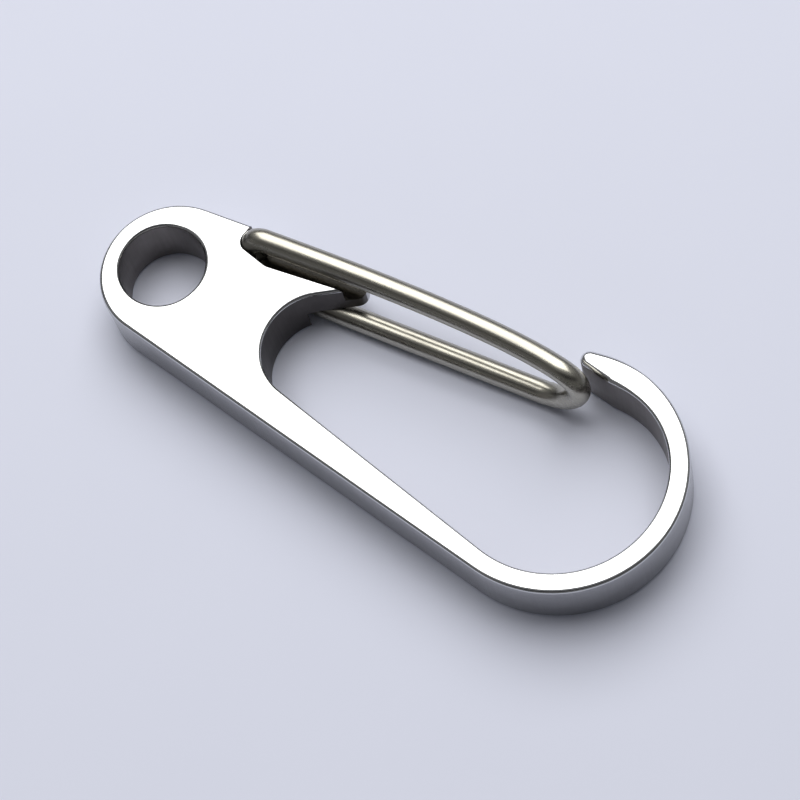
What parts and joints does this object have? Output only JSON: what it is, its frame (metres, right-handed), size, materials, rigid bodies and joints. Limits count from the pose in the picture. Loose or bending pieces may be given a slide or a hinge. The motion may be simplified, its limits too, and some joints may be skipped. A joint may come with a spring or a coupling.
{
  "type": "plate carabiner key clip",
  "caption": "Flat teardrop plate carabiner with a round eye, an open hook loop and a sprung hairpin wire gate that swings inward.",
  "frame": {"origin": "middle of the plate's outline in plan, on the back face that lies on the table", "axes": "+X along the plate from the eye to the hook, +Y towards the gate's side, +Z out of the front face"},
  "size_m": [0.0522, 0.0204, 0.0065],
  "materials": {
    "plate": "mirror polished stainless steel",
    "wire": "bright drawn spring steel"
  },
  "bodies": {
    "plate": {"frame": "plate"},
    "gate": {"wire_gate": "wire"}
  },
  "joints": [
    {"name": "gate_hinge", "type": "hinge", "parent": "plate", "child": "gate", "pos_m": [-0.01568, 0.0053, 0.0025], "axis": [0, 0, -1], "range_deg": [0, 5], "stiffness_Nm_per_rad": 0.15, "springref_deg": -11.46}
  ]
}
